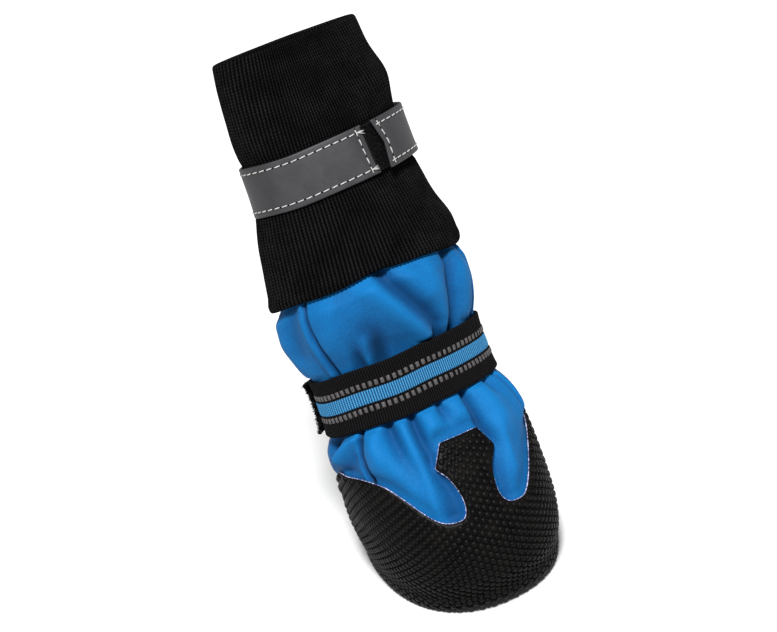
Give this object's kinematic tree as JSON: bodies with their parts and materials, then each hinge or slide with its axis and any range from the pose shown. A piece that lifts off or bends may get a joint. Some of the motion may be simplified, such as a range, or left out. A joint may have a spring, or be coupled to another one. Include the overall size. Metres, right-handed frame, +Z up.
{
  "type": "dog boot",
  "caption": "Soft dog boot with a rubber sole and toe overlay, webbing ankle strap and a long rib-knit cuff held by a tape strap.",
  "frame": {"origin": "middle of the sole, on the floor", "axes": "+Z up, toe towards -Y, heel towards +Y, and the cuff strap's free end on the +X side"},
  "size_m": [0.0844, 0.1209, 0.2281],
  "materials": {
    "rubber_sole": "matt black moulded rubber with small round nubs",
    "rubber_overlay": "matt black nubbed rubber sheet with a thin pale cut edge",
    "lining": "dark brushed fleece",
    "softshell": "bright blue softshell with a soft satin sheen",
    "rib_knit": "black one-by-one rib knit",
    "webbing": "black elastic webbing with a blue middle stripe between two rows of grey dashes",
    "hook_tape": "black hook and loop tape with a fuzzy edge",
    "reflective_tape": "grey reflective tape with off-white edge stitching",
    "loop_tape": "black loop tape"
  },
  "bodies": {
    "root": {"outsole": "rubber_sole", "insole": "lining", "upper": "softshell", "toe_overlay": "rubber_overlay", "cuff": "rib_knit", "ankle_strap": "webbing", "ankle_strap_tab": "hook_tape", "cuff_strap": "reflective_tape", "cuff_strap_tape": "loop_tape"}
  },
  "joints": []
}
